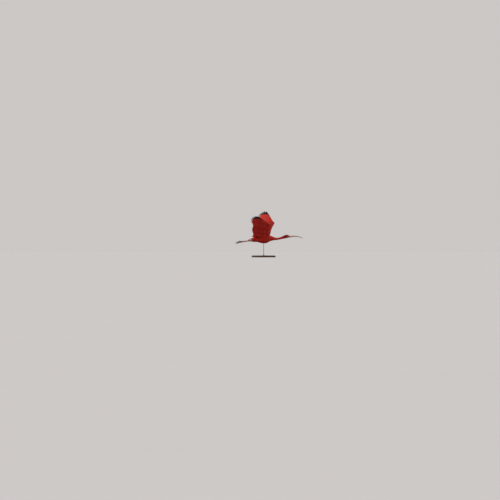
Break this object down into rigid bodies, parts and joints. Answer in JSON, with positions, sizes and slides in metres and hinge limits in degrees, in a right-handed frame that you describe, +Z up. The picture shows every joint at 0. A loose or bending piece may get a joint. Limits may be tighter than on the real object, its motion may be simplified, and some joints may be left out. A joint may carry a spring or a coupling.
{
  "type": "scarlet ibis model",
  "caption": "Life-size scarlet ibis in flight, wings raised, neck stretched and legs trailing, on a round display stand with one rod.",
  "frame": {"origin": "centre of the stand base's underside", "axes": "+X the way the bird flies, +Y towards its left wing, +Z up"},
  "size_m": [0.7393, 0.7289, 0.5034],
  "materials": {
    "plumage": "soft feathers, scarlet",
    "bill": "horn, dusky pinkish brown",
    "leg_skin": "scaled skin, dull pink",
    "eye": "wet dark brown",
    "stand_wood": "dark stained and waxed",
    "stand_metal": "brushed"
  },
  "bodies": {
    "root": {"head": "plumage", "bill_upper": "bill", "bill_lower": "bill", "eye_left": "eye", "eye_right": "eye", "neck": "plumage", "torso": "plumage", "wing_left": "plumage", "wing_right": "plumage", "tail": "plumage", "leg_left": "leg_skin", "leg_right": "leg_skin", "foot_left": "leg_skin", "foot_right": "leg_skin", "stand_base": "stand_wood", "stand_rod": "stand_metal"}
  },
  "joints": []
}
